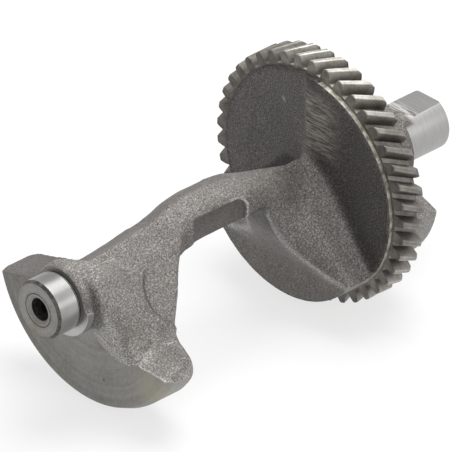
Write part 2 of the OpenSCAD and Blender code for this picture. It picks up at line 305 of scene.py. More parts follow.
# Blemishes on the weight's face: (y, z, radius) in mm and colour
BLEMISHES = [
    (-7.0, -18.1, 3.0, (0.20, 0.175, 0.145, 1)),
    (-30.5, -25.0, 9.0, (0.32, 0.30, 0.235, 1)),
    (-8.4, -30.8, 0.7, (0.03, 0.028, 0.025, 1)),
]
for y_mm, z_mm, size, spot in BLEMISHES:
    away = vector_math("DISTANCE", place, (along(FACE), y_mm * MM, z_mm * MM))["Value"]
    cover = ramp(math_node("DIVIDE", away, size * MM), (0.3, 0.75), (1.0, 0.0))
    colour = mix(cover, colour, spot)
dress(turned_iron, colour, (tool_marks, 0.25, 0.1), (pores, 0.2, 0.2))

# %% [markdown]
# ## Web between the front boss and the fan
# On the casting, a web runs from the boss over into the fan and stands a little in front
# of the weight's face. It could be sculpted, but its form is given by its borders: the
# boss, the line where it runs out on the face, and the fan's root. A convex hull over
# points on those borders is the shortest way to it.

# %% Web
# Where the web runs out on the weight's face: (y, z) in mm
WEB_EDGE = [
    (-5.6, -12.1), (-9.3, -15.3), (-13.0, -16.9), (-16.6, -18.3), (-19.8, -18.7), (-23.3, -18.2)
]
# The web's section at the fan's root: (degrees from the top, radius)
WEB_ROOT = [(60, 8.5), (75, 9.2), (90, 11.6), (105, 15.6), (118, 24.0)]
WEB_START, WEB_END = 14.0, 31.0


def at(station, y_mm, z_mm):
    """A point of the part in metres, from a station and mm from the axis."""
    return Vector((along(station), y_mm * MM, z_mm * MM))


def polar(station, angle, radius):
    """A point at an angle from the top, counted towards the near side, in metres."""
    return at(station, -radius * math.sin(angle), radius * math.cos(angle))


def closed_mesh(name, work, finish=None):
    """Turns all faces outwards and hands the work over as a mesh with its finish."""
    bmesh.ops.recalc_face_normals(work, faces=work.faces)
    mesh = bpy.data.meshes.new(name)
    work.to_mesh(mesh)
    work.free()
    if finish:
        mesh.materials.append(finish)
    return mesh


corners = [polar(WEB_START, math.radians(degrees), BOSS_R + 0.3) for degrees in range(50, 123, 8)]
corners += [at(FACE + 0.2, y_mm, z_mm) for y_mm, z_mm in WEB_EDGE]
corners += [polar(WEB_END, math.radians(degrees), radius) for degrees, radius in WEB_ROOT]
corners += [at(WEB_START, 0, 0), at(WEB_END, 0, -10.0)]
work = bmesh.new()
for corner in corners:
    work.verts.new(corner)
bmesh.ops.convex_hull(work, input=work.verts)
loose = [vert for vert in work.verts if not vert.link_faces]
bmesh.ops.delete(work, geom=loose, context="VERTS")
web_mesh = closed_mesh("web", work)
print("web:", len(web_mesh.polygons), "faces")

# %% [markdown]
# ## Fillet between the near roof and the disc
# The weight in front of the disc has a sloping roof, and the mould gave it a hollow fillet
# against the disc that shrinks towards the rim. A bevel would need a clean edge loop, which
# the solid doesn't have there. So one hollow section is lofted along the roof's line, with
# its own radius at each of four points.

# %% Fillet
# The roof's line on the disc, (y, z) in mm, its upward normal there, and the fillet's radius
ROOF_LINE = [
    ((0.0, 9.8), (-0.775, 0.632), 5.0),
    ((-8.0, 0.0), (-0.751, 0.660), 8.5),
    ((-14.0, -6.35), (-0.727, 0.687), 7.5),
    ((-30.0, -23.3), (-0.727, 0.687), 2.0),
]


def fillet_section(radius):
    """(station, height over the roof) points of the fillet's outline."""
    arc = [math.radians(15 * i) for i in range(7)]
    hollow = [(DISC - radius + radius * math.sin(a), radius - radius * math.cos(a)) for a in arc]
    return hollow + [(DISC + 1, radius), (DISC + 1, -1), (DISC - radius, -1)]


def loft(name, rings, finish=None):
    """A closed mesh over a row of rings that have the same number of points."""
    work = bmesh.new()
    rows = [[work.verts.new(point) for point in ring] for ring in rings]
    for end in (rows[0], rows[-1]):
        work.faces.new(end)
    for first, second in zip(rows, rows[1:]):
        for i in range(len(first)):
            work.faces.new((first[i - 1], first[i], second[i], second[i - 1]))
    return closed_mesh(name, work, finish)


sections = [
    [at(station, y_mm + rise * ny, z_mm + rise * nz) for station, rise in fillet_section(radius)]
    for (y_mm, z_mm), (ny, nz), radius in ROOF_LINE
]
fillet_mesh = loft("fillet", sections)
print("fillet:", len(fillet_mesh.polygons), "faces")

# %% [markdown]
# ## The rough blank
# The solid from the CAD has sharp creases where the real casting has fillets. Bevels would
# have to be set edge by edge. A voxel remesh turns solid, web and fillet into one even skin
# of small squares instead, which can be softened anywhere.

# %% Voxel skin of the solid, its web and its fillet
VOXEL = 0.75

blank = new_object("blank", cad.data.copy())
blank.data.materials.clear()
work = bmesh.new()
work.from_mesh(blank.data)
bmesh.ops.remove_doubles(work, verts=work.verts, dist=1e-6)
work.from_mesh(web_mesh)
work.from_mesh(fillet_mesh)
work.to_mesh(blank.data)
work.free()
voxels = blank.modifiers.new("Voxel skin", "REMESH")
voxels.mode = "VOXEL"
voxels.voxel_size = VOXEL * MM
skin = evaluated(blank)
bpy.data.objects.remove(blank)
print("voxel skin:", len(skin.vertices), "vertices")

# %% [markdown]
# ## Casting allowance
# A pattern maker adds metal wherever a tool will cut later. The blank gets the same: faces
# that the lathe will cut are pushed out first, so that softening rounds only what stays
# rough. Sculpting could do it, but NumPy moves all points at once by rules on their place.


# %% Rules on the skin's points
def points_of(mesh):
    """Vertex places as stations and mm: x from the front end face, y and z from the axis."""
    co = np.empty(len(mesh.vertices) * 3)
    mesh.vertices.foreach_get("co", co)
    return co.reshape(-1, 3) / MM - (FRONT_END, 0, 0)


def place_points(mesh, points):
    mesh.vertices.foreach_set("co", ((points + (FRONT_END, 0, 0)) * MM).ravel())
    mesh.update()


def point_attribute(mesh, name, values):
    if name not in mesh.attributes:
        mesh.attributes.new(name, "FLOAT", "POINT")
    mesh.attributes[name].data.foreach_set("value", values.astype(np.float32))


def ease(value, start, end):
    """Smooth step from 0 at start to 1 at end."""
    t = np.clip((value - start) / (end - start), 0, 1)
    return t * t * (3 - 2 * t)


def hump(value, centre, width):
    """A smooth hump of height 1 about the centre."""
    return np.exp(-(((value - centre) / width) ** 2))


def round_axis(y, z):
    """Distance from the axis, and the angle from the top round either side in degrees."""
    return np.maximum(np.hypot(y, z), 1e-6), np.degrees(np.arctan2(np.abs(y), z))


def roof_height(y):
    """Height over the axis of the roof in front of the disc."""
    return np.where(np.abs(y) < 8, 9.8 - 1.225 * np.abs(y), 8.46 - 1.0575 * np.abs(y))


x, y, z = points_of(skin).T
r, turn = round_axis(y, z)
print(f"points from {x.min():.1f} to {x.max():.1f} mm along the shaft")

# %% Allowance on the rims, the bosses and the faces
ALLOWANCE, SKIN, COLLAR_END = 2.2, 1.2, 12.2

# Outwards from the axis: the front weight's rim, the disc's rim, the rear weight and its boss
rim_r = np.interp(x, [FACE, FACE + 3.5], [FACE_R, WEIGHT_R])
rim_end = np.interp(y, [-34, -26], [27, 32])
out = ALLOWANCE * ease(r, rim_r - SKIN, rim_r) * (x > FACE - 2) * (1 - ease(x - rim_end, 0, 3))
out += 1.5 * ALLOWANCE * ease(r, DISC_R - 2 * SKIN, DISC_R) * (x > INNER - 4) * (x < GEAR + 3)
out -= 0.5 * ease(r, REAR_R - SKIN, REAR_R) * (x > GEAR_REAR + 1.5)
rear_boss = ease(r, JOURNAL_R + 1, REAR_BOSS_R - 1.5) * (x > GEAR_REAR + 1)
out += rear_boss * (1 - ease(r, REAR_BOSS_R + 1, REAR_BOSS_R + 5))
# The lathe only reaches the lower side of the collar, the rest of the boss stays rough
on_boss = (x > SHOULDER - 0.8) * (x < FACE) * (r > JOURNAL_R + 0.7) * (r < BOSS_R + 0.8)
lower = ease(turn, 88, 96) * (1 - ease(x, COLLAR_END, COLLAR_END + 0.8))
in_web = (y < 0) * (x > COLLAR_END + 1) * (turn > 45) * (turn < 155)
out += on_boss * np.where(in_web, 0, 1.2 * lower - 0.3 * (1 - lower))
out -= 1.5 * on_boss * hump(x, COLLAR_END + 1.2, 0.8) * ease(turn, 20, 50) * (1 - lower)
# Along the shaft: the weight's face, the collar's face, the rear weight and its boss
push = -ALLOWANCE * ease(FACE + SKIN - x, 0, SKIN) * (r > BOSS_R + 0.6) * (x > FACE - 2)
push -= 1.2 * on_boss * lower * ease(SHOULDER + 1 - x, 0, 1)
push += ALLOWANCE * ease(x, REAR_WEIGHT - SKIN, REAR_WEIGHT) * (r > REAR_BOSS_R + 1)
rear_ring = (r > JOURNAL_R + 0.8) * (r < REAR_BOSS_R + 1)
push += 1.2 * ease(x, REAR_SHOULDER - 1, REAR_SHOULDER) * rear_ring
print("allowance on", int((np.abs(out) + np.abs(push) > 0.1).sum()), "vertices")

# %% Where broad fillets lie, and the far roof's fall
near_fan = ease(-y, -4, 2) * ease(x, 14.5, 17) * (1 - ease(x, 30, 38)) * ease(turn, 15, 40)
lobe = ease(-y, 25, 28) * ease(x, 26, 30) * (x < 42)
lobe *= np.maximum(ease(z, -23, -20), ease(x, 29, 32))
far_arm = 0.8 * ease(y, 0, 2) * ease(x, 42, 48) * (1 - ease(x, 72, 78)) * ease(z, 4, 7)
arm_root = 0.4 * ease(x, 86, 92) * (1 - ease(x, 107, 112)) * (r < 36)
over_roof = z - roof_height(y)
on_disc = 0.4 * hump(x, DISC, 5) * (x < DISC + 3) * (r < 35) * ease(-y, -3, 3)
on_disc *= 1 - ease(np.abs(over_roof), 5, 9)
collar = 0.15 * on_boss * (x < COLLAR_END) * (1 - lower)
# Behind its ridge the roof falls off more steeply on the far side
sink = 2.6 * ease(y, 0.2, 1.8) * (1 - ease(y, 4, 8.5)) * ease(x, 103, 109) * (x < DISC + 0.5)
sink *= (over_roof < 0.8) * (z > -4)
scale = 1 + out / r
place_points(skin, np.column_stack([x + push, y * scale, z * scale - sink]))
soften = np.maximum.reduce([near_fan * (r < 34), lobe, far_arm, arm_root, on_disc, collar])
point_attribute(skin, "soften", soften)
print("broad fillets on", int((soften > 0.1).sum()), "vertices")

# %% [markdown]
# ## Softening the skin
# Every edge of a casting is rounded, and its skin is uneven from the sand. Sculpting could
# show that once, while a Geometry Nodes tree gives the same skin in every run. One blur of
# the positions runs everywhere and gives the small radius of every cast edge. A stronger
# one follows the `soften` attribute, where the fan and the arm's root run into the weights.
# The tree then lifts and sinks the skin a little along its normal, as sand does.

# %% Geometry Nodes: cast skin
tree, given, result = geometry_tree(
    "cast_skin", EdgePasses="Int", FilletPasses="Int", SandHeight="Float", Material="Material"
)
position = add(tree, "GeometryNodeInputPosition")[0]


def moved(geometry, **sockets):
    """The geometry with new positions, or moved by an offset."""
    return add(tree, "GeometryNodeSetPosition", {"Geometry": geometry, **sockets})[0]


def blurred(**sockets):
    """The positions, blurred along the skin."""
    sockets["Value"] = position
    return add(tree, "GeometryNodeBlurAttribute", sockets, data_type="FLOAT_VECTOR")[0]


broad = add(tree, "GeometryNodeInputNamedAttribute", {"Name": "soften"}, data_type="FLOAT")[0]
rounded = moved(given["Geometry"], Position=blurred(Iterations=given["EdgePasses"]))
blended = moved(rounded, Position=blurred(Iterations=given["FilletPasses"], Weight=broad))
sand = add(tree, "ShaderNodeTexNoise", {"Vector": position, "Scale": 330.0, "Detail": 2.0})["Fac"]
height = math_node("MULTIPLY", math_node("SUBTRACT", sand, 0.5), given["SandHeight"])
normal = add(tree, "GeometryNodeInputNormal")[0]
offset = add(tree, "ShaderNodeVectorMath", {0: normal, "Scale": height}, operation="SCALE")[0]
sanded = moved(blended, Offset=offset)
end_tree(add(tree, "GeometryNodeRealizeInstances", {"Geometry": sanded})[0], given, result)

# %% Running the tree on the skin
rough = new_object("rough", skin)
soft_mesh = run_tree(
    rough, tree, EdgePasses=2, FilletPasses=28, SandHeight=0.25 * MM, Material=cast_iron
)
bpy.data.objects.remove(rough)
print("cast skin:", len(soft_mesh.vertices), "vertices")

# %% [markdown]
# ## Seat and valley
# A mould insert left a shallow round seat in the fan's flank, with a fine step round it.
# Next to it the fan runs over into the lobe, and the valley between them is filled up. Both
# are less than a millimetre, too little for a Boolean on an uneven skin, so the points move
# along their normals instead.

# %% Seat and valley
SEAT, SEAT_R, SEAT_DEPTH = (45.8, -18.9, -1.6), 13.5, 0.7
FILL = 0.9


def normals_of(mesh):
    normals = np.empty(len(mesh.vertices) * 3)
    mesh.vertex_normals.foreach_get("vector", normals)
    return normals.reshape(-1, 3)


def off_seat(points):
    """Distance from the seat's round edge, negative inside it."""
    return np.linalg.norm(points - SEAT, axis=1) - SEAT_R


def off_valley(x, y, z):
    """Distance from the line of the valley between fan and lobe."""
    return np.hypot(y + 22.8 - 0.37 * (x - FACE), z + 16.3 - 0.08 * (x - FACE))


points = points_of(soft_mesh)
x, y, z = points.T
in_seat = ease(-off_seat(points), -0.5, 0.5) * (y < -4) * (1 - ease(z, 0, 7))
in_valley = hump(off_valley(x, y, z), 0, 3.5) * (x > FACE - 3) * (1 - ease(x, 30, 36))
raised = FILL * in_valley - SEAT_DEPTH * in_seat
place_points(soft_mesh, points + normals_of(soft_mesh) * raised[:, None])
print("seat lowers", int((in_seat > 0.5).sum()), "vertices")

# %% [markdown]
# ## Turning the casting
# Everything that a lathe leaves is a solid of revolution, so one turned envelope holds all
# the cuts at once: the front face and rim of the weight, the rims of the disc, and the
# ends. One Boolean per cut would leave more seams. This one keeps what lies inside the
# envelope, and gives the cut faces the envelope's material. The edge between the two
# finishes wanders as on the real part, because the rough skin is uneven.


# %% The turned envelope
def turned(name, profile, finish, steps=256):
    """Turns a closed profile of (station, radius) points in mm about the axis."""
    work = bmesh.new()
    angles = [2 * math.pi * i / steps for i in range(steps)]
    rows = []
    for station, radius in profile:
        if radius == 0:
            rows.append([work.verts.new(at(station, 0, 0))] * steps)
        else:
            rows.append([work.verts.new(polar(station, a, radius)) for a in angles])
    for first, second in zip(rows, rows[1:] + rows[:1]):
        if first[0] is first[1] and second[0] is second[1]:
            continue
        for i in range(steps):
            j = (i + 1) % steps
            work.faces.new(list(dict.fromkeys((first[i], first[j], second[j], second[i]))))
    return new_object(name, closed_mesh(name, work, finish))


SPIGOT_R, SPIGOT_END = 9.3, 16.5
# Between these stations the envelope only has to clear the arm
CLEAR_START, CLEAR_END = 60, 90
front_cuts = [
    (SPIGOT_END, 0), (SPIGOT_END, SPIGOT_R), (SHOULDER, SPIGOT_R), (SHOULDER, BOSS_R - 0.2),
    (SHOULDER + 0.2, BOSS_R), (FACE, BOSS_R), (FACE, FACE_R - 0.3), (FACE + 0.3, FACE_R + 0.05),
    (FACE + 3.2, WEIGHT_R - 0.1), (FACE + 4, WEIGHT_R), (CLEAR_START, WEIGHT_R),
]
disc_cuts = [
    (CLEAR_END, DISC_R), (DISC - 2, DISC_R), (GEAR + 0.3, DISC_R), (GEAR_REAR - 0.3, DISC_R)
]
rear_cuts = [
    (GEAR_REAR + 0.2, REAR_R), (REAR_WEIGHT - 0.4, REAR_R), (REAR_WEIGHT, REAR_R - 0.4),
    (REAR_WEIGHT, REAR_BOSS_R + 0.8), (REAR_SHOULDER - 0.6, REAR_BOSS_R + 0.3),
    (REAR_SHOULDER, REAR_BOSS_R - 0.6), (REAR_SHOULDER, 0),
]
envelope = turned("envelope", front_cuts + disc_cuts + rear_cuts, turned_iron)
print("envelope:", len(envelope.data.polygons), "faces")


# %% Room for the web in the envelope
def cut(obj, tool, operation):
    """Cuts the object with a tool, which gives the cut faces its material."""
    boolean = obj.modifiers.new(operation, "BOOLEAN")
    boolean.operation, boolean.solver, boolean.material_mode = operation, "MANIFOLD", "TRANSFER"
    boolean.object = tool
    mesh = evaluated(obj)
    obj.modifiers.clear()
    obj.data = mesh
    bpy.data.objects.remove(tool)


# The web stands in front of the weight's face, where the lathe didn't cut
ROOM = [(-1.5, -11.0)] + WEB_EDGE + [(-27, -17), (-27, -4), (-20, 8), (-8, 14), (0, 11)]
ROOM_X = (COLLAR_END + 0.3, FACE + 1.5)
sections = [[at(station, y_mm, z_mm) for y_mm, z_mm in ROOM] for station in ROOM_X]
cut(envelope, new_object("room", loft("room", sections, cast_iron)), "UNION")
print("envelope with room:", len(envelope.data.polygons), "faces")

# %% [markdown]
# ## Pockets in the arm's sides
# A pocket in each side makes the arm lighter. Its walls have draft, so that the pattern
# came out of the sand, and its rear end is round. It could be pushed in by a rule, but a
# Boolean with a drafted block leaves the crisp edge that a pocket has.

# %% Pockets, and the cut with the envelope
POCKET_X, POCKET_TOP, POCKET_ROUND, POCKET_FLOOR = (60.0, 82.7), 11.3, 4.6, 7.1
POCKET_LOW, POCKET_DEPTH, POCKET_DRAFT = -0.4, 5, 1.6


def pocket_outline(grow):
    """(station, z) points of the pocket, grown by so many mm at its top and rear."""
    (start, stop), radius = POCKET_X, POCKET_ROUND + grow
    turns = [math.radians(90 - 9 * i) for i in range(11)]
    mid_x, mid_z = stop - POCKET_ROUND, POCKET_TOP - POCKET_ROUND
    bend = [(mid_x + radius * math.cos(a), mid_z + radius * math.sin(a)) for a in turns]
    return [(start, POCKET_LOW), (start, POCKET_TOP + grow)] + bend + [(stop + grow, POCKET_LOW)]


def pocket_cutter(side):
    """A drafted block that cuts the pocket in one side of the arm, -1 near or 1 far."""
    depths = ((POCKET_FLOOR, 0), (POCKET_FLOOR + POCKET_DEPTH, POCKET_DRAFT))
    sections = [
        [at(station, side * depth, z_mm) for station, z_mm in pocket_outline(grow)]
        for depth, grow in depths
    ]
    return new_object("pocket", loft("pocket", sections, cast_iron))


casting = new_object("casting", soft_mesh)
for side in (-1, 1):
    cut(casting, pocket_cutter(side), "DIFFERENCE")
cut(casting, envelope, "INTERSECT")
casting_mesh = casting.data
print("casting:", len(casting_mesh.polygons), "faces,", [m.name for m in casting_mesh.materials])

# %% [markdown]
# ## Bright rim of the disc
# The near part of the disc's front edge is bright: its turned metal with a painted highlight
# and darker flecks in it. A separate ring would have to be fitted, while the edge is already
# a band of faces in the casting, so these faces get a finish of their own. The same pass
# marks the edges between two finishes as sharp, so that smooth shading stops there.

# %% Bright finish with a painted highlight
rim_highlight, place = iron("bright", 0.6, 0.5)
dirt = noise(place, 420)
dress(rim_highlight, ramp(dirt, (0.36, (0.22, 0.205, 0.17)), (0.6, (0.60, 0.58, 0.50))))
casting_mesh.materials.append(rim_highlight)

# %% Finishes by place, and sharp edges between them
CREASE = math.radians(32)
ROUGH, TURNED, BRIGHT, POLISHED = range(4)
BRIGHT_SIDE = -6
work = bmesh.new()
work.from_mesh(casting_mesh)
for face in work.faces:
    face.smooth = True
    middle = face.calc_center_median() / MM
    station, radius = middle.x - FRONT_END, middle.yz.length
    if face.material_index != TURNED:
        continue
    # The disc's rim gets the painted highlight on its near side, and rough skin on the far side
    if DISC - 2 < station < GEAR + 0.3 and radius > DISC_R - 0.4:
        face.material_index = BRIGHT if middle.y < BRIGHT_SIDE else ROUGH
    elif station > GEAR_REAR and radius > REAR_R - 1:
        face.material_index = ROUGH
seam = np.zeros(len(work.verts))
for border in work.edges:
    sides = {face.material_index for face in border.link_faces}
    border.smooth = len(sides) == 1 and border.calc_face_angle(0) < CREASE
    if sides == {ROUGH, TURNED}:
        seam[[vert.index for vert in border.verts]] = 1
work.to_mesh(casting_mesh)
work.free()


def count_finishes(name, mesh):
    counts = np.bincount([face.material_index for face in mesh.polygons])
    print(name, "faces by finish:", counts.tolist())


count_finishes("casting", casting_mesh)

# %% [markdown]
# ## Tone and painted shade of the skin
# The blasted skin is peppered where it looks up, towards the top light, so its pepper is
# partly painted glints. The walls that the mould drew along, the face of the disc and the far
# side of the front weight are smooth, and they get painted shade, as do the hollows, the
# skin under the arm and the weight behind the gear. Weight painting by hand could show this,
# but rules on each point's place and normal are easier to change, and they blend over a few
# millimetres.

# %% Skin that looks up, the near flank and the far side
x, y, z = points_of(casting_mesh).T
nx, ny, nz = normals_of(casting_mesh).T
r, turn = round_axis(y, z)
far = ease(y, -0.5, 1.5)
nz_limit = np.interp(x, [FACE + 8, FACE + 14], [-0.95, -0.5])
near_flank = (y < 0) * ease(x, 12, 13) * (1 - ease(x, 59.6, 60)) * ease(nz, nz_limit, nz_limit + 0.3)
tone = np.maximum(ease(nz, 0.1, 0.5), near_flank)
# Painted shade on smooth skin, on the rear of the near flank, on faces that look up behind station
# 22, and on the far side
soot = 0.28 * (1 - tone) + 0.36 * near_flank * ease(x, 44, 54) * (1 - ease(nz, 0.4, 0.7))
soot += 0.2 * ease(nz, 0.45, 0.75) * ease(x, 22, 32)
far_top = far * ease(x, FACE - 4, FACE) * (1 - ease(x, WEIGHT_REAR, WEIGHT_REAR + 8))
far_slope = far * ease(x, 30, 40) * (1 - ease(x, 88, 98))
tone = tone * (1 - 0.7 * far_top) * (1 - 0.5 * far_slope)
soot = np.maximum.reduce([soot, 0.34 * far_top, 0.3 * far_slope])
print("peppered:", int((tone > 0.5).sum()), "of", tone.size, "points")

# %% Painted shade in the hollows round the collar, on its lower crescent, and along the seat's edge
near = y < 0
hollow = near * hump(x, COLLAR_END + 1.3, 1.5) * (r < BOSS_R + 1) * ease(turn, 30, 60) * (turn < 160)
under = near * ease(x, 12.6, 13.4) * (1 - ease(x, 16, 19)) * (r < BOSS_R + 1.4)
under *= ease(turn, 112, 122) * (1 - ease(turn, 150, 160))
crescent = near * ease(x, 12.2, 12.5) * (1 - ease(x, 14, 16)) * (r < BOSS_R + 3)
crescent *= ease(turn, 88, 96) * (turn < 165)
seat_edge = hump(off_seat(np.column_stack([x, y, z])), 0, 0.5)
seat_edge *= near_flank * (1 - ease(z, 1, 5)) * (x < 48)
soot = np.maximum.reduce([soot, 0.75 * hollow, 0.8 * under, 0.7 * crescent, 0.85 * seat_edge])
print("shaded:", int((soot > 0.5).sum()), "points")

# %% Arm's root and pockets
# The root is rough above the line where its skirt turns under, smooth with painted shade
# below, and the pocket floors get less painted shade
SKIRT_X = [86.7, 91.7, 93.3, 95.7, 99.0, 102.1, 103.9, INNER]
SKIRT_Z = [2.6, 2.0, -1.8, -7.6, -13.2, -18.0, -20.8, -24.6]
off_skirt = z - np.interp(x, SKIRT_X, SKIRT_Z)
root = ease(x, 83, 84.5) * (x < GEAR)
above = ease(off_skirt, -0.8, 0.6) * ease(nz, -0.35, -0.05)
under_arm = (1 - ease(x, 93, 102)) * ease(z, -16, -4)
root_shade = 0.2 * above + (0.04 + 0.46 * under_arm) * (1 - above)
tone = tone * (1 - root) + root * (0.45 + 0.55 * above)
soot = soot * (1 - root) + root * root_shade
pocket = (x > 60) * (x < 83) * ease(np.abs(ny), 0.6, 0.9)
soot = soot * (1 - 0.6 * pocket)
print("root:", int((root > 0.5).sum()), "points")

# %% Front of the disc, and the weight behind the gear
# The disc's face is a little peppered, with painted shade over all of it: more on the near
# half, deepest there along the roof, and a dark corner of painted shade on the far side
disc = ease(x, DISC - 1.8, DISC - 0.4) * ease(-nx, 0.6, 0.95) * (x < GEAR + 1)
parting = ease(-y, -0.3, 0.3)
shadow = 1 - ease(z - roof_height(y), 5, 17)
far_corner = ease(5.0 - z, -0.6, 0.6) * ease(11.5 - y - 0.98 * (z - 4.0), -1.5, 1.5)
far_corner *= (1 - parting) * ease(y, 1, 3)
tone = tone * (1 - disc) + disc * 0.8
soot = soot * (1 - disc) + disc * (0.6 + parting * (0.2 + 0.1 * shadow) + 0.4 * far_corner)
# A line of painted shade on the disc's far rim by the teeth; painted shade on the weight behind the
# gear, except its turned rim
far_rim = (r > DISC_R - 0.7) * (x > DISC - 2) * (x < GEAR + 1) * ease(y, -7, -5)
soot = np.maximum(soot, 0.9 * far_rim)
behind_gear = ease(x, GEAR_REAR, GEAR_REAR + 1)
rear_rim = behind_gear * ease(r, REAR_R - 1.2, REAR_R - 0.6)
soot = (soot * (1 - behind_gear) + behind_gear * np.maximum(soot, 0.32)) * (1 - rear_rim)
# A pit in the disc with a painted shadow on one side and a painted highlight on the other,
# and the grinder's strokes along the seam
soot = np.maximum(soot, hump(np.hypot(y - 11.8, z - 24.2), 0, 0.9) * disc)
light_pit = hump(np.hypot(y - 11.0, z - 25.0), 0, 0.7) * disc
ground = 0.7 * disc * parting * (1 - ease(-y, 8, 18)) * ease(z, 9, 15) * (1 - ease(z, 30, 37))
ground = np.maximum(ground, 0.5 * disc * hump(y, 0.5, 3.5) * hump(z, 13.5, 2.5))
print("ground:", int((ground > 0.3).sum()), "points")

# %% [markdown]
# ## Painted highlights on edges
# Where an edge or a fillet catches the light, it gets a painted highlight: the pocket's rear
# end, the line of the skirt, the seam between rough and turned, the web and the pit. The
# fan's lower side and its valley get painted light too, and the rear weight's turned rim is
# paler metal. A curvature mask would pale every edge alike. Here each edge has its own
# rule, a hump over the distance from its line.


# %% Painted highlights on edges
def off_line(y, z, line):
    """Distance from a line of (y, z) points."""
    distance = np.full(y.size, 99.0)
    for (y0, z0), (y1, z1) in zip(line, line[1:]):
        dy, dz = y1 - y0, z1 - z0
        t = np.clip(((y - y0) * dy + (z - z0) * dz) / (dy**2 + dz**2), 0, 1)
        distance = np.minimum(distance, np.hypot(y - y0 - t * dy, z - z0 - t * dz))
    return distance


past_x = np.maximum(x - POCKET_X[1] + POCKET_ROUND, 0)
past_z = np.maximum(z - POCKET_TOP + POCKET_ROUND, 0)
pocket_end = hump(np.hypot(past_x, past_z) - POCKET_ROUND, 0.5, 0.6) * ease(x, 74, 79) * (x < 86)
pocket_end *= (np.abs(y) < 9.5) * ease(np.abs(y), 7.2, 7.6) * (z > 1.5)
skirt_width = np.interp(x, [92, 100, 106], [1.8, 1.2, 0.9])
skirt_line = hump(off_skirt / skirt_width, 0.3, 1) * ease(x, 91.5, 93.5) * (x < INNER + 1)
skirt_line *= (np.abs(y) > 6.5) * ease(nz, -0.6, -0.3)
web_line = hump(off_line(y, z, WEB_EDGE), 0, 0.9) * ease(-y, 7, 10) * (x < FACE + 3)
web_side = near_flank * ease(x, 14, 16) * (1 - ease(x, 28, 37)) * (1 - ease(nz, 0.05, 0.45))
fan_side = near_flank * (x < 40)
# Painted highlights along edges, painted light on the fan's lower side and valley, and the paler
# turned rim of the rear weight
edge = np.maximum.reduce([pocket_end, 0.85 * skirt_line, 0.75 * web_line, 0.72 * web_side])
edge = np.maximum.reduce([edge, 0.85 * seam * (x < FACE + 2) * near, 0.8 * light_pit])
edge = np.maximum.reduce([edge, 0.2 * fan_side * ease(-nz, -0.25, 0.1), 0.42 * rear_rim])
edge = np.maximum(edge, 0.3 * fan_side * hump(off_valley(x, y, z), 0, 4.5))
for name, values in (("tone", tone), ("soot", soot), ("edge", edge), ("ground", ground)):
    point_attribute(casting_mesh, name, values)
    print(name, f"{values.min():.2f} to {values.max():.2f}")

# %% [markdown]
# ## Finishes of the journals
# The front journal and the lower side of its collar are polished, the rear one has a satin
# grind, and chamfers, groove and holes are dull. All scratches run round the shaft, so the
# noise is drawn out across X. An anisotropic shader would show that too, but it needs a
# tangent on every face.

# %% Polished finish
polished, place = iron("polished", 0.75, 0.33)
scratches = noise(stretched(place, (1, 0.02, 0.02)), 5200, 3, 0.7)
sheen = ramp(noise(place, 160), (0.3, (0.40, 0.394, 0.382)), (0.7, (0.49, 0.481, 0.466)))
# A painted reflection: the top of the land is painted darker and its underside lighter
level = math_node("ADD", math_node("DIVIDE", axes_of(place)["Z"], 2 * JOURNAL_R * MM), 0.5)
painted_reflection = ramp(level, (0.2, 1.0), (0.5, 0.74), (0.86, 0.72), (0.93, 0.45))
dress(polished, multiply(sheen, painted_reflection), (scratches, 0.12, 0.05))
casting_mesh.materials.append(polished)
for face in casting_mesh.polygons:
    if face.material_index == TURNED and face.center.x < along(COLLAR_END + 1) and face.center.z < 0:
        face.material_index = POLISHED

# %% Satin finish
satin, place = iron("satin", 0.9, 0.42)
scratches = noise(stretched(place, (1, 0.05, 0.05)), 3600, 3, 0.7)
sheen = ramp(scratches, (0.3, (0.325, 0.322, 0.314)), (0.7, (0.405, 0.401, 0.391)))
# The top of the journal's root was left rough: this fades over 3 mm along and 1.4 mm down
CRUST_LENGTH, CRUST_LOW, FADE_ALONG, FADE_DOWN = 7.6, 6.3, 3, 1.4
axes = axes_of(place)
inward = math_node("SUBTRACT", along(REAR_SHOULDER + CRUST_LENGTH), axes["X"])
upward = math_node("SUBTRACT", axes["Z"], CRUST_LOW * MM)
inward = math_node("DIVIDE", inward, FADE_ALONG * MM)
upward = math_node("DIVIDE", upward, FADE_DOWN * MM)
unturned = ramp(math_node("MINIMUM", inward, upward), (0.1, 0.0), (0.6, 1.0))
crust = ramp(noise(place, 1900, 4, 0.8), (0.38, (0.05, 0.047, 0.044)), (0.62, (0.20, 0.19, 0.18)))
dress(satin, mix(unturned, sheen, crust), (scratches, 0.15, 0.05))

# %% Dull finish
dull, place = iron("dull", 0.6, 0.5)
dress(dull, ramp(noise(place, 500), (0.4, (0.05, 0.046, 0.041)), (0.65, (0.13, 0.121, 0.11))))

# %% [markdown]
# ## Journals
# Both journals are plain lathe work, so each is a profile turned about the axis, with the
# same function as the envelope. The front one has a relief groove with two fine ribs, and
# both ends are centre-drilled for the lathe. Cylinders with bevels would also do, but a
# profile shows every step of the real turning in one list.

# %% Front and rear journals
HOLE_R, HOLE_DEPTH, MOUTH, CHAMFER = 3.9, 12.0, 0.8, 0.9
RING_R, RING_HALF, RING_DEPTH = 5.7, 0.2, 0.12
GROOVE_DEPTH, RIB_DEPTH, COVE = 0.69, 0.3, 0.3
JOURNAL_STEPS = 192
DRILL_POINT = HOLE_R * math.tan(math.radians(30))


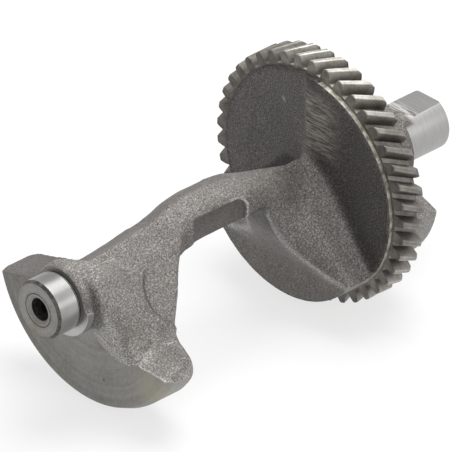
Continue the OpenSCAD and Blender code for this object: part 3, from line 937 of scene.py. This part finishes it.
def journal_end(sign, end, size, steps):
    """Profile of a journal end, from the hole's drill point out to the land."""
    hole = [(HOLE_DEPTH + DRILL_POINT, 0), (HOLE_DEPTH, HOLE_R), (MOUTH, HOLE_R)]
    hole += [(0.1, HOLE_R + MOUTH - 0.1), (0, HOLE_R + MOUTH + 0.1)]
    ring = [(0, RING_R - RING_HALF), (RING_DEPTH, RING_R), (0, RING_R + RING_HALF)]
    brim = [(0, JOURNAL_R - size - 0.15), (0.02, JOURNAL_R - size)]
    for i in range(1, steps + 1):
        a = math.pi / 2 * i / steps
        brim.append((size * (1 - math.cos(a)), JOURNAL_R - size * (1 - math.sin(a))))
    return [(end + sign * inset, radius) for inset, radius in hole + ring + brim]


# The groove in front of the shoulder: (distance from the shoulder, depth under the land)
GROOVE = [
    (1.4, 0), (1.3, 0.1), (1.3, GROOVE_DEPTH),
    (0.95, GROOVE_DEPTH), (0.9, RIB_DEPTH), (0.7, RIB_DEPTH), (0.65, GROOVE_DEPTH),
    (0.35, GROOVE_DEPTH), (0.3, RIB_DEPTH), (0.1, RIB_DEPTH), (0, GROOVE_DEPTH),
]
profile = journal_end(1, 0, CHAMFER, 1)
profile += [(SHOULDER - distance, JOURNAL_R - depth) for distance, depth in GROOVE]
profile += [(SHOULDER, SPIGOT_R), (SPIGOT_END, SPIGOT_R), (SPIGOT_END, 0)]
front_journal = turned("front_journal", profile, polished, JOURNAL_STEPS)
profile = journal_end(-1, END, 0.7 * CHAMFER, 4)
profile += [(REAR_SHOULDER + COVE, JOURNAL_R), (REAR_SHOULDER, JOURNAL_R + COVE)]
profile += [(REAR_SHOULDER - 1.5, JOURNAL_R + COVE), (REAR_SHOULDER - 1.5, 0)]
rear_journal = turned("rear_journal", profile, satin, JOURNAL_STEPS)
print("journals:", len(front_journal.data.polygons), "and", len(rear_journal.data.polygons), "faces")

# %% Finishes of the journals' faces
LAND, FACED, DULL = range(3)


def shade_by_angle(obj, degrees=25):
    """Smooth shading, with sharp edges where faces meet at more than this angle."""
    obj.data.shade_smooth()
    obj.data.set_sharp_from_angle(angle=math.radians(degrees))


def journal_finish(piece, face):
    """Which finish a face of a journal has, from its place and direction."""
    radius, endwise = face.center.yz.length / MM, abs(face.normal.x)
    if piece is rear_journal and radius > JOURNAL_R - 2 * CHAMFER and endwise < 0.9:
        return LAND
    if radius < HOLE_R + 0.1:
        return DULL
    in_groove = face.center.x > along(SHOULDER - 1.35) and radius < JOURNAL_R - RIB_DEPTH - 0.1
    if piece is front_journal and in_groove:
        return DULL
    if endwise > 0.3:
        return DULL if endwise < 0.9 and radius > HOLE_R + MOUTH + 0.2 else FACED
    return LAND


for piece in (front_journal, rear_journal):
    shade_by_angle(piece)
    piece.data.materials.append(turned_iron)
    piece.data.materials.append(dull)
    for face in piece.data.polygons:
        face.material_index = journal_finish(piece, face)
    count_finishes(piece.name, piece.data)

# %% [markdown]
# ## Flat on the rear journal
# A mill ran across the top of the rear journal and left a flat that ends in a short slope.
# Its marks lie across the shaft and are torn on the slope. The turned profile can't hold a
# flat, so a prism with the flat's side view as outline makes the cut, and hands its own
# finish to the faces that it leaves.

# %% Milled finish
FLAT_Z, FLAT_RISE, FLAT_START, SLOPE_START = 8.2, 0.3, 159.8, 154.6
TORN_REACH = 10
milled, place = iron("milled", 0.8, 0.5)
marks = noise(stretched(place, (1, 0.06, 1)), 1200, 3, 0.7)
even = ramp(marks, (0.3, (0.195, 0.19, 0.186)), (0.7, (0.245, 0.24, 0.233)))
torn = ramp(marks, (0.42, (0.07, 0.066, 0.06)), (0.56, (0.58, 0.57, 0.55)))
past = math_node("SUBTRACT", axes_of(place)["X"], along(SLOPE_START))
on_flat = ramp(math_node("DIVIDE", past, TORN_REACH * MM), (0.48, 0.0), (0.85, 1.0))
dress(milled, mix(on_flat, torn, even))

# %% Milling the flat
FLAT_SIDE = [
    (SLOPE_START, JOURNAL_R + 0.6), (FLAT_START, FLAT_Z), (END + 1, FLAT_Z + FLAT_RISE),
    (END + 1, JOURNAL_R + 3), (SLOPE_START, JOURNAL_R + 3),
]
FLAT_Y = (-JOURNAL_R, JOURNAL_R)
sections = [[at(station, y_mm, z_mm) for station, z_mm in FLAT_SIDE] for y_mm in FLAT_Y]
cut(rear_journal, new_object("flat", loft("flat", sections, milled)), "DIFFERENCE")
shade_by_angle(rear_journal)
print("flat cut,", len(rear_journal.data.polygons), "faces on the rear journal")

# %% [markdown]
# ## Finish of the teeth
# Hobbed teeth are brown on their flanks and bright where they rub. An attribute, set on each
# point of the tooth's outline, mixes the two, and it also carries painted light: a painted
# glint on the gap floors, painted shade on the tooth ends, and more light on the top teeth.
# A mask from the edges' sharpness would not know the land of a tooth from its foot.

# %% Tooth material
teeth_iron, place = iron("hobbed", 0.7, 0.5)
patina = noise(place, 260, 4, 0.65)
fine_grain = noise(place, 1400, 3, 0.7)
brown = ramp(patina, (0.35, (0.065, 0.059, 0.051)), (0.65, (0.145, 0.132, 0.116)))
bright = ramp(fine_grain, (0.3, (0.46, 0.445, 0.415)), (0.7, (0.68, 0.66, 0.62)))
mottle = ramp(patina, (0.38, (0.72, 0.70, 0.66)), (0.58, 1.0))
colour = mix(attribute(teeth_iron, "wear"), brown, multiply(bright, mottle))
dress(teeth_iron, colour, (fine_grain, 0.25, 0.1))

# %% [markdown]
# ## One helical tooth
# A hob rolls with the blank and gives each tooth an involute outline on a helix. Cutting
# the gaps with Booleans would leave ragged faces, so one tooth is drawn as a mesh: the
# outline, repeated along the face width and turned a little at each step to follow the
# helix. It covers one pitch, from gap middle to gap middle.

# %% Outline of a tooth
TEETH, HELIX, PRESSURE = 41, math.radians(27), math.radians(17)
FRONT_CUT, REAR_CUT, GAP_SHARE = 0.3, 1.0, 0.46
FOOT_ROUND, TIP_ROUND = 0.35, 0.2
PITCH = 2 * math.pi / TEETH
PITCH_R = (TIP_R + ROOT_R) / 2
BASE_R = PITCH_R * math.cos(PRESSURE)


def involute(radius):
    a = math.acos(min(1, BASE_R / radius))
    return math.tan(a) - a


def half_tooth(radius):
    """Half of the angle that a tooth takes up at this radius."""
    gap = PITCH / 2 * GAP_SHARE + involute(radius) - involute(PITCH_R)
    return PITCH / 2 - gap


def tooth_outline(tip):
    """(angle, radius, wear) points from gap middle to gap middle, over a tooth cut off at tip."""
    low, high = ROOT_R + FOOT_ROUND, tip - TIP_ROUND
    # The gap floor gets a high value as a painted glint; the high values on the land are wear
    right = [(PITCH / 2, ROOT_R, 0.8), (half_tooth(ROOT_R + 0.2) + 0.006, ROOT_R + 0.03, 0.75)]
    for i in range(6):
        radius = low + (high - low) * i / 5
        right.append((half_tooth(radius), radius, 0.05 + 0.65 * (radius - ROOT_R) / (tip - ROOT_R)))
    right += [(half_tooth(tip) - 0.25 / tip, tip, 1.0), (half_tooth(tip) - 0.6 / tip, tip, 0.6)]
    return [(-a, radius, light_and_wear) for a, radius, light_and_wear in right] + right[::-1]


def tooth_sections():
    """(station, tip radius) of the sections along the face width."""
    start, stop = GEAR + FRONT_CUT, GEAR_REAR - REAR_CUT
    full = [(start + (stop - start) * i / 6, TIP_R) for i in range(7)]
    return [(GEAR, TIP_R - FRONT_CUT)] + full + [(GEAR_REAR, TIP_R - REAR_CUT)]


print("outline:", len(tooth_outline(TIP_R)), "points in", len(tooth_sections()), "sections")

# %% Mesh of a tooth
RIM_IN, BAND, BAND_EDGE = 37.4, 0.3, 0.15
# The tooth ends and the rim under the teeth get a low value, painted shade
END_SHADE, BAND_WEAR = 0.1, 0.4
MIDDLE = (GEAR + GEAR_REAR) / 2
work = bmesh.new()
wear_layer = work.verts.layers.float.new("wear")


def tooth_point(station, angle, radius, light_and_wear):
    twist = (station - MIDDLE) * math.tan(HELIX) / PITCH_R
    vert = work.verts.new(polar(station, PITCH / 2 + angle + twist, radius))
    vert[wear_layer] = light_and_wear
    return vert


rows = []
for station, tip in tooth_sections():
    outline = tooth_outline(tip)
    if station in (GEAR, GEAR_REAR):
        outline = [(a, radius, END_SHADE) for a, radius, light_and_wear in outline]
    rows.append([tooth_point(station, *point) for point in outline])
angles = [a for a, radius, light_and_wear in tooth_outline(TIP_R)]
# The rim under the tooth, and a narrow band that meets the disc
band_start = GEAR - BAND
under_tooth = [
    (GEAR_REAR, RIM_IN, END_SHADE), (band_start, RIM_IN, END_SHADE),
    (band_start, DISC_R - BAND_EDGE, BAND_WEAR), (band_start + BAND_EDGE, DISC_R, BAND_WEAR),
    (GEAR, DISC_R, BAND_WEAR),
]
for station, radius, light_and_wear in under_tooth:
    rows.append([tooth_point(station, a, radius, light_and_wear) for a in angles])
for first, second in zip(rows, rows[1:] + rows[:1]):
    for i in range(len(angles) - 1):
        work.faces.new((first[i], first[i + 1], second[i + 1], second[i]))
tooth = new_object("tooth", closed_mesh("tooth", work))
print("one tooth:", len(tooth.data.polygons), "faces")

# %% [markdown]
# ## Ring of teeth
# The hob repeats the same tooth round the axis, and so do Geometry Nodes: one point per
# tooth, one instance on each, turned by the pitch. An Array modifier would need an empty to
# turn about. The copies meet in the middle of the gaps, and a merge makes them one ring.

# %% Geometry Nodes: ring of teeth
tree, given, result = geometry_tree(
    "tooth_ring", Teeth="Int", Pitch="Float", Merge="Float", Material="Material"
)
spots = add(tree, "GeometryNodePoints", {"Count": given["Teeth"]})[0]
index = add(tree, "GeometryNodeInputIndex")[0]
angle = math_node("MULTIPLY", index, given["Pitch"])
rotation = add(tree, "ShaderNodeCombineXYZ", {"X": angle})[0]
sockets = {"Points": spots, "Instance": given["Geometry"], "Rotation": rotation}
copies = add(tree, "GeometryNodeInstanceOnPoints", sockets)[0]
real = add(tree, "GeometryNodeRealizeInstances", {"Geometry": copies})[0]
sockets = {"Geometry": real, "Distance": given["Merge"]}
end_tree(add(tree, "GeometryNodeMergeByDistance", sockets)[0], given, result)
ring_mesh = run_tree(tooth, tree, Teeth=TEETH, Pitch=PITCH, Merge=0.01 * MM, Material=teeth_iron)
bpy.data.objects.remove(tooth)
gear_teeth = new_object("gear_teeth", ring_mesh)
shade_by_angle(gear_teeth, 28)
print("ring:", TEETH, "teeth,", len(ring_mesh.polygons), "faces")

# %% Wear by place round the ring
# Painted light over the wear: the teeth are lightest at the top, lighter again at the bottom,
# and dimmed by painted shade on the far side
x, y, z = points_of(ring_mesh).T
wear = np.empty(x.size, np.float32)
ring_mesh.attributes["wear"].data.foreach_get("value", wear)
light_by_height = 0.32 + 0.68 * ease(z, 22, 43) + 0.4 * (1 - ease(z, -20, 0))
wear = wear * (1 - 0.85 * ease(y, 6, 22)) * light_by_height
point_attribute(ring_mesh, "wear", wear)
print(f"wear {wear.min():.2f} to {wear.max():.2f}")

# %% [markdown]
# ## Riding on the frame
# All four pieces belong to the one body of the part and stand in for its one solid, since
# the real shaft is a single casting.

# %% Pieces on the body
for piece in (casting, front_journal, rear_journal, gear_teeth):
    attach(piece, "root")
    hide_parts("balance_shaft")
    print(piece.name, "rides on root")

# %% [markdown]
# ## Floor
# The part lies on a white table. A shadow catcher needs a compositor, so the floor mixes
# plain white with a lit surface: to the camera and to reflections it is mostly white, but
# it still takes the shadow and fades into the white world behind it.

# %% Floor
PAPER_WHITE = 0.72


def in_view(tree):
    """1 for rays from the camera, from reflections and through glass, else 0."""
    path = add(tree, "ShaderNodeLightPath")
    mirrored = math_node("MAXIMUM", path["Is Glossy Ray"], path["Is Transmission Ray"])
    return math_node("MAXIMUM", path["Is Camera Ray"], mirrored)


def show(tree, share, lit, plain, output):
    """Shows the plain shader by its share, and the lit one for the rest."""
    seen = add(tree, "ShaderNodeMixShader", {0: share, 1: lit, 2: plain})[0]
    tree.links.new(seen, tree.nodes[output].inputs["Surface"])


floor_mesh = bpy.data.meshes.new("floor")
work = bmesh.new()
bmesh.ops.create_grid(work, x_segments=1, y_segments=1, size=3)
work.to_mesh(floor_mesh)
work.free()
floor = new_object("floor", floor_mesh)
floor.location.z = cad_low.z
paper = material("paper", 0.0, 1.0)
tree = paper.node_tree
shader = tree.nodes["Principled BSDF"]
shader.inputs["Base Color"].default_value = (0.9, 0.9, 0.9, 1)
share = math_node("MULTIPLY", in_view(tree), PAPER_WHITE)
white = add(tree, "ShaderNodeEmission", {"Color": (1, 1, 1, 1), "Strength": 1.0})[0]
show(tree, share, shader.outputs[0], white, "Material Output")
floor_mesh.materials.append(paper)
print(f"floor {-cad_low.z / MM:.1f} mm under the axis")

# %% [markdown]
# ## Light
# The part is lit softly from all sides, with more from above. A picture of a studio would
# be another file to read, so the world is a plain white that lights less than it shows, and
# two soft boxes give the forms their shading.

# %% Lights
SKY_LIGHT = 0.48
world = bpy.data.worlds.new("studio")
bpy.context.scene.world = world
world.use_nodes = True
tree = world.node_tree
sky = tree.nodes["Background"]
sky.inputs["Color"].default_value = (1, 1, 1, 1)
sky.inputs["Strength"].default_value = SKY_LIGHT
white = add(tree, "ShaderNodeBackground", {"Color": (1, 1, 1, 1), "Strength": 1.0})[0]
show(tree, in_view(tree), sky.outputs[0], white, "World Output")


def softbox(name, spot, target, size, power):
    light = bpy.data.lights.new(name, "AREA")
    light.shape = "RECTANGLE"
    light.size, light.size_y = size
    light.energy = power
    lamp = new_object(name, light)
    lamp.location = spot
    lamp.rotation_euler = (Vector(target) - Vector(spot)).to_track_quat("-Z", "Y").to_euler()
    print(name, power, "W")


CENTRE = (along(85), 0, 0)
softbox("top_light", (0.35, 0.0, 1.0), CENTRE, (0.75, 0.75), 12)
softbox("side_light", (0.6, -0.8, 0.3), CENTRE, (0.5, 0.3), 0.9)

# %% [markdown]
# ## Camera
# The photograph was taken from far away with a long lens, which keeps sizes nearly true. A
# camera could be placed by eye, but this one was fitted to the outline: two angles, a
# distance, and the point that it aims at.

# %% Camera
AZIMUTH, ELEVATION = math.radians(-43.385), math.radians(31.374)
DISTANCE, FOCAL_PX, IMAGE_PX = 3456, 10965, 452
AIM_RIGHT, AIM_UP, AIM_STATION = 58.704, 26.357, 0.7
run, rise = math.cos(ELEVATION), math.sin(ELEVATION)
right = Vector((math.cos(AZIMUTH), math.sin(AZIMUTH), 0))
back = Vector((math.sin(AZIMUTH) * run, -math.cos(AZIMUTH) * run, rise))
up = back.cross(right)
start = Vector((FRONT_END + AIM_STATION, 0, 0))
eye = (right * AIM_RIGHT + up * AIM_UP + back * DISTANCE + start) * MM
lens = bpy.data.cameras.new("camera")
lens.sensor_width = 36
lens.lens = FOCAL_PX / IMAGE_PX * lens.sensor_width
camera = new_object("camera", lens)
camera.matrix_world = Matrix.Translation(eye) @ Matrix((right, up, back)).transposed().to_4x4()
bpy.context.scene.camera = camera
bpy.context.scene.view_settings.view_transform = "Standard"
print(f"camera {eye.length:.2f} m away, lens {lens.lens:.0f} mm")
